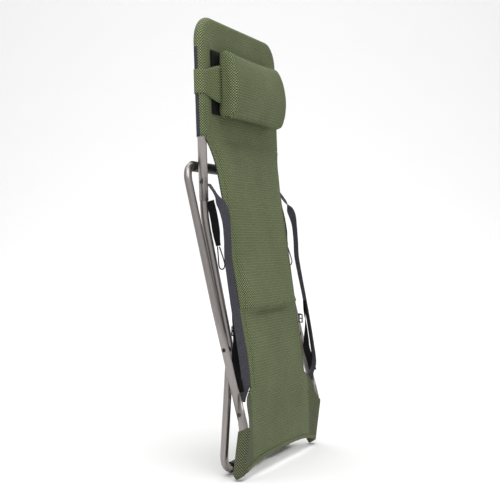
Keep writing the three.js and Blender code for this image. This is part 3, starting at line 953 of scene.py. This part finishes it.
def band_path(clear):
    """The band's line seen from above, in design millimetres: pad end, round the tube, rear."""
    middle = back_y(935)
    radius = SLEEVE_R + clear
    left = [(-180, 66.0), (-189, 71.0), (-200, 74.5), (-222, middle - radius - 1.0)]
    for i in range(13):
        angle = -math.pi / 2 - math.pi * i / 12
        left.append((-BACK_X + radius * math.cos(angle), middle + radius * math.sin(angle)))
    rear = [(-BACK_X + 2 * BACK_X * i / 24, middle + radius) for i in range(1, 24)]
    right = [(-x, y) for x, y in reversed(left)]
    return left + rear + right


def make_band():
    """The mesh band that carries the pad, tall at the pad and narrower round the tubes."""
    path = band_path(2.0)
    low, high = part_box("headrest_band")
    middle = (low.z + high.z) / 2
    rows, uvs, length = [], [], 0.0
    for i, (x, y) in enumerate(path):
        if i:
            length += math.dist(path[i - 1], (x, y))
        spread = smooth((BACK_X + SLEEVE_R - abs(x)) / 85) if y < back_y(935) else 0.0
        tall = 58 + 36 * spread
        row = []
        for k in range(9):
            share = -1 + k / 4
            point = place(x, y, 0)
            point.z = middle + share * tall / 2 * MM
            point.y += 0.03519 * share * tall / 2 * MM
            row.append(point)
            uvs.append((length * MM, share * tall / 2 * MM))
        rows.append(row)
    thing = grid("headrest_strap", rows, uvs)
    thicken(thing, MESH_T)
    finish_piece(thing, "headrest", "sling_mesh", MATERIALS["mesh"])
    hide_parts("headrest_band")


def strap_frames(side, line, x, angles):
    """Points of a strap and its width direction, turned from one angle to the next."""
    points, across = [], []
    for i, (y, z) in enumerate(line):
        share = i / (len(line) - 1)
        angle = math.radians(along([(a, -s) for s, a in angles], -share))
        direction = Vector((-side * math.cos(angle), -math.sin(angle), 0))
        points.append(place(side * x(share), y, z))
        across.append(direction)
    for i in range(len(points)):
        ahead = points[min(i + 1, len(points) - 1)] - points[max(i - 1, 0)]
        ahead.normalize()
        across[i] = (across[i] - ahead * across[i].dot(ahead)).normalized()
    return points, across


def make_armrests(chair):
    """The slate webbing armrests, each one strap that swings and shortens with the fold."""
    line = resample(STRAP_LINE, 90)
    for word, side in SIDES:
        twist, slack = ARMREST_HANG[word]
        hung = [(y + slack * smooth((560 - z) / 200), z) for y, z in line]
        points, across = strap_frames(side, hung, lambda s: STRAP_X + 3 * smooth(s * 3), twist)
        width = [chair.strap_width * (0.9 + 0.1 * smooth(i / 10)) for i in range(len(points))]
        thing = ribbon(f"armrest_{word}", points, across, width, WEBBING_T)
        finish_piece(thing, None, "armrest_webbing", MATERIALS["grey"])
        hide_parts(f"armrest_upper_{word}", f"armrest_lower_{word}")
        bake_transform(thing)


def make_adjusters():
    """The black adjusting webs, which twist from edge-on to flat, and their small buckles."""
    line = resample(ADJUSTER_LINE, 60)
    for word, side in SIDES:
        hang = ADJUSTER_HANG[word]
        hung = [(y + hang, z) for y, z in line]
        points, across = strap_frames(side, hung, lambda s: STRAP_X + 14 * smooth((s - 0.62) * 3),
                                      [(0, 6), (0.2, 12), (0.4, 38), (0.6, 62), (0.78, 84), (1, 84)])
        width = [0.017 + 0.004 * smooth((i - 20) / 15) for i in range(len(points))]
        thing = ribbon(f"adjuster_web_{word}", points, across, width, WEBBING_T)
        finish_piece(thing, f"armrest_lower_{word}", "black_webbing", MATERIALS["black"])
        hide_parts(f"adjuster_webbing_{word}")
        make_buckle(word, side)


def make_buckle(word, side):
    """A moulded ladder buckle with rounded bars and a hooked release spur."""
    low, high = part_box(f"adjuster_buckle_{word}")
    centre = (low + high) / 2
    work = bmesh.new()
    bars = [((-7.8, 0, 0), (2.8, 3.2, 22)), ((7.8, 0, 0), (2.8, 3.2, 22)), ((0, 0, -10.4), (17, 3.2, 3)),
            ((0, 0, 10.4), (17, 3.2, 3)), ((0, 0, 0), (15, 3.0, 3.2)), ((0, 3.6, 12.4), (9, 6, 2.4)),
            ((0, 6.2, 10.6), (7, 2.2, 5))]
    for place_mm, size_mm in bars:
        for vertex in bmesh.ops.create_cube(work, size=1.0)["verts"]:
            vertex.co = Vector([c * s + p for c, s, p in zip(vertex.co, size_mm, place_mm)]) * MM
    mesh = bpy.data.meshes.new(f"ladder_buckle_{word}")
    work.to_mesh(mesh)
    work.free()
    thing = bpy.data.objects.new(f"ladder_buckle_{word}", mesh)
    bpy.context.scene.collection.objects.link(thing)
    whole = thing.modifiers.new("Whole", "REMESH")
    whole.mode = "VOXEL"
    whole.voxel_size = 0.0006
    soft = thing.modifiers.new("Soft", "SMOOTH")
    soft.iterations = 3
    apply_modifiers(thing)
    thing.data.polygons.foreach_set("use_smooth", [True] * len(thing.data.polygons))
    turn = math.radians(50)
    along_width = Vector((-side * math.cos(turn), -math.sin(turn), 0))
    outward = Vector((-side * math.sin(turn), math.cos(turn), 0))
    for vertex in thing.data.vertices:
        vertex.co = centre + along_width * vertex.co.x + outward * vertex.co.y + Vector((0, 0, vertex.co.z))
    finish_piece(thing, f"armrest_lower_{word}", "black_plastic", MATERIALS["plastic"])
    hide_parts(f"adjuster_buckle_{word}")


def make_plugs():
    """The domed plugs in the arm tubes' lower ends, inside the pockets."""
    for word, side in SIDES:
        rings, uvs = [], []
        for z, radius in ((28, 9.6), (20, 9.6), (17, 9.0), (15, 7.4), (13.6, 4.6), (13, 0.4)):
            ring = []
            for k in range(25):
                angle = 2 * math.pi * k / 24
                ring.append(place(side * LEG_X + radius * math.cos(angle),
                                  arm_y(z) - 1.5 + radius * math.sin(angle) * min(1, 0.45 + z / 22), z))
                uvs.append((angle * radius * MM, z * MM))
            rings.append(ring)
        thing = grid(f"arm_end_plug_{word}", rings, uvs)
        weld(thing)
        finish_piece(thing, "seat_frame", "black_plastic", MATERIALS["plastic"])
        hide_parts(f"arm_plug_{word}")


def make_tabs():
    """The black tab beside each lower tube."""
    for word, side in SIDES:
        line = resample([(70, 652), (62, 622), (56, 590), (51.5, 560), (48.5, 545)], 30)
        points, across = strap_frames(side, line, lambda s: BACK_X - 4, [(0, 86), (1, 88)])
        width = [0.019 - 0.007 * smooth((i - 18) / 11) for i in range(30)]
        thing = ribbon(f"webbing_tab_{word}", points, across, width, 0.0024)
        finish_piece(thing, "back_frame", "black_webbing", MATERIALS["black"])
        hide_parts(f"side_tab_{word}")


def make_cords():
    """The thin cord loop at the foot of each tab."""
    for word, side in SIDES:
        points = [place(side * (BACK_X - 3), y, z) for y, z in CORD_LINE]
        curve = bpy.data.curves.new(f"cord_{word}", "CURVE")
        curve.dimensions = "3D"
        curve.bevel_depth = CORD_D * MM / 2
        curve.bevel_resolution = 4
        curve.resolution_u = 6
        curve.use_fill_caps = True
        spline = curve.splines.new("NURBS")
        spline.points.add(len(points) - 1)
        spline.use_endpoint_u = True
        spline.order_u = 4
        for control, point in zip(spline.points, points):
            control.co = (*point, 1)
        thing = bpy.data.objects.new(f"cord_{word}", curve)
        bpy.context.scene.collection.objects.link(thing)
        finish_piece(thing, "back_frame", "black_webbing", MATERIALS["black"])
        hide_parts(f"cord_loop_{word}")


def finish_nodes():
    """Gives the CAD pieces that stay their real finishes."""
    finishes = {"rivet": "steel", "pin": "steel", "washer": "plastic", "plug": "plastic", "foot": "plastic"}
    for name, thing in frame["nodes"].items():
        for word, finish in finishes.items():
            if word in name:
                thing.data.materials.clear()
                thing.data.materials.append(MATERIALS[finish])


# ---------------------------------------------------------------- studio

# Each lamp's name, place, target and size in metres, and its power in watts.
LAMPS = [
    ("top_softbox", (-1.7, -0.5, 3.2), (0, 0, 0.6), (2.2, 2.2), 48),
    ("floor_softbox", (1.6, 0.6, 4.4), (1.6, 0.6, 0), (6.0, 5.0), 120),
    ("backdrop_lamp", (3.6, 1.4, 4.6), (9.4, 3.7, 2.2), (5.0, 2.0), 160),
]
FLOOR_HALF = 14.0
COVE_R = 6.0
FLOOR_DROP = 0.0006

def area_light(name, where, target, size, power):
    """A soft rectangular lamp that looks at a point."""
    lamp = bpy.data.lights.new(name, "AREA")
    lamp.shape = "RECTANGLE"
    lamp.size, lamp.size_y = size
    lamp.energy = power
    thing = bpy.data.objects.new(name, lamp)
    thing.location = where
    thing.rotation_euler = (Vector(target) - Vector(where)).to_track_quat("-Z", "Y").to_euler()
    bpy.context.scene.collection.objects.link(thing)


def make_stage():
    """A pale floor that curves up behind, and soft lamps."""
    rows, uvs = [], []
    for i in range(25):
        row = []
        for k in range(2):
            x = -FLOOR_HALF + 2 * FLOOR_HALF * k
            if i < 12:
                y, z = -FLOOR_HALF + (FLOOR_HALF + COVE_R) * i / 12, -FLOOR_DROP
            else:
                angle = math.pi / 2 * (i - 12) / 12
                y = COVE_R + COVE_R * math.sin(angle)
                z = COVE_R - COVE_R * math.cos(angle) - FLOOR_DROP
            row.append(Vector((x * math.cos(VIEW_AZIMUTH) - y * math.sin(VIEW_AZIMUTH),
                               x * math.sin(VIEW_AZIMUTH) + y * math.cos(VIEW_AZIMUTH), z)))
            uvs.append((x, y))
        rows.append(row)
    floor = grid("studio_floor", rows, uvs)
    floor.data.materials.append(painted_board("matt_painted_board", linear("#f8f8f8")))
    world = bpy.data.worlds.new("studio_world")
    world.use_nodes = True
    tree = world.node_tree
    where = add(tree, "ShaderNodeTexCoord").outputs["Generated"]
    facing = add(tree, "ShaderNodeVectorMath", {0: where, 1: (-0.92, -0.3, 0.25)}, operation="DOT_PRODUCT")
    level = add(tree, "ShaderNodeMapRange", {"Value": facing.outputs["Value"], "From Min": -1.0,
                                             "To Min": 0.32, "To Max": 0.8}).outputs[0]
    shade = tree.nodes["Background"]
    shade.inputs[0].default_value = (1, 1, 1, 1)
    tree.links.new(level, shade.inputs[1])
    bpy.context.scene.world = world
    for lamp in LAMPS:
        area_light(*lamp)
    bpy.context.scene.view_settings.view_transform = "Standard"


def make_camera(chair):
    """A camera at the height of the chair's middle, on its left front."""
    azimuth = chair.view_azimuth
    target = Vector((-0.0217, 0.0072, 0.5594))
    back = Vector((math.sin(azimuth), -math.cos(azimuth), 0))
    lens = bpy.data.cameras.new("camera")
    lens.sensor_width = 36
    lens.lens = chair.lens / MM
    lens.shift_y = -0.017
    thing = bpy.data.objects.new("camera", lens)
    thing.location = target + back * chair.view_distance
    thing.rotation_euler = (-back).to_track_quat("-Z", "Y").to_euler()
    bpy.context.scene.collection.objects.link(thing)
    bpy.context.scene.camera = thing


# ---------------------------------------------------------------- add-on


class CampChairSettings(bpy.types.PropertyGroup):
    """Sizes and colours of the chair that a user would change."""

    mesh_colour: FloatVectorProperty(name="Mesh colour", description="Main colour of the sling mesh",
                                     subtype="COLOR", size=3, default=linear("#4d583a"))
    strap_colour: FloatVectorProperty(name="Strap colour", description="Colour of the armrest webbing",
                                      subtype="COLOR", size=3, default=linear("#4e4e55"))
    tube_colour: FloatVectorProperty(name="Tube colour", description="Colour of the anodised tubes",
                                     subtype="COLOR", size=3, default=linear("#85807e"))
    mesh_pitch: FloatProperty(name="Mesh pitch", description="Distance between the pale threads",
                              unit="LENGTH", default=0.0046)
    strap_width: FloatProperty(name="Strap width", description="Width of the armrest webbing",
                               unit="LENGTH", default=0.022)
    view_azimuth: FloatProperty(name="View azimuth", description="Where the camera stands",
                                subtype="ANGLE", default=VIEW_AZIMUTH)
    view_distance: FloatProperty(name="View distance", description="From the camera to the chair",
                                 unit="LENGTH", default=2.935)
    lens: FloatProperty(name="Lens", description="Focal length of the camera", unit="LENGTH",
                        default=0.08316)


def piece_operator(word, label, purpose, action):
    """An operator class that makes one group of pieces."""

    def execute(self, context):
        action(context.scene.camp_chair)
        return {"FINISHED"}

    return type(f"CAMPCHAIR_OT_{word}", (bpy.types.Operator,), {
        "bl_idname": f"camp_chair.{word}", "bl_label": label, "__doc__": purpose, "execute": execute,
    })


OPERATORS = [
    piece_operator("camera", "Camera", "Place the camera", make_camera),
    piece_operator("materials", "Finishes", "Make all finishes", make_materials),
    piece_operator("cords", "Cord Loops", "Make the cord loops", lambda chair: make_cords()),
    piece_operator("tubes", "Tubes", "Make the frame tubes", lambda chair: make_tubes()),
    piece_operator("sling", "Sling", "Make the sewn sling", lambda chair: make_sling()),
    piece_operator("stitching", "Stitching", "Sew the seams", lambda chair: make_stitching()),
    piece_operator("pad", "Headrest Pad", "Make the stuffed pad", lambda chair: make_pad()),
    piece_operator("backing", "Headrest Backing", "Make the pad's backing", lambda chair: make_backing()),
    piece_operator("band", "Headrest Band", "Make the pad's band", lambda chair: make_band()),
    piece_operator("armrests", "Armrests", "Make the armrest straps", make_armrests),
    piece_operator("adjusters", "Adjusters", "Make the adjusting webs", lambda chair: make_adjusters()),
    piece_operator("tabs", "Tabs", "Make the side tabs", lambda chair: make_tabs()),
    piece_operator("plugs", "Arm Plugs", "Make the plugs in the arms", lambda chair: make_plugs()),
    piece_operator("fittings", "Fittings", "Finish rivets and feet", lambda chair: finish_nodes()),
    piece_operator("stage", "Studio", "Make the floor and lamps", lambda chair: make_stage()),
]


class CAMPCHAIR_PT_panel(bpy.types.Panel):
    """Lists the steps that build the chair"""

    bl_label = "Camp Chair"
    bl_idname = "CAMPCHAIR_PT_panel"
    bl_space_type = "VIEW_3D"
    bl_region_type = "UI"
    bl_category = "Camp Chair"

    def draw(self, context):
        for operator in OPERATORS:
            self.layout.operator(operator.bl_idname)


CLASSES = [CampChairSettings, *OPERATORS, CAMPCHAIR_PT_panel]


def register():
    """Registers the settings, operators and panel."""
    for item in CLASSES:
        bpy.utils.register_class(item)
    bpy.types.Scene.camp_chair = PointerProperty(type=CampChairSettings)


def unregister():
    """Removes them again."""
    del bpy.types.Scene.camp_chair
    for item in reversed(CLASSES):
        bpy.utils.unregister_class(item)


def main():
    """Builds every piece in order and writes the two boxes."""
    register()
    for operator in OPERATORS:
        getattr(bpy.ops.camp_chair, operator.bl_idname.split(".")[1])()


if __name__ == "__main__":
    main()
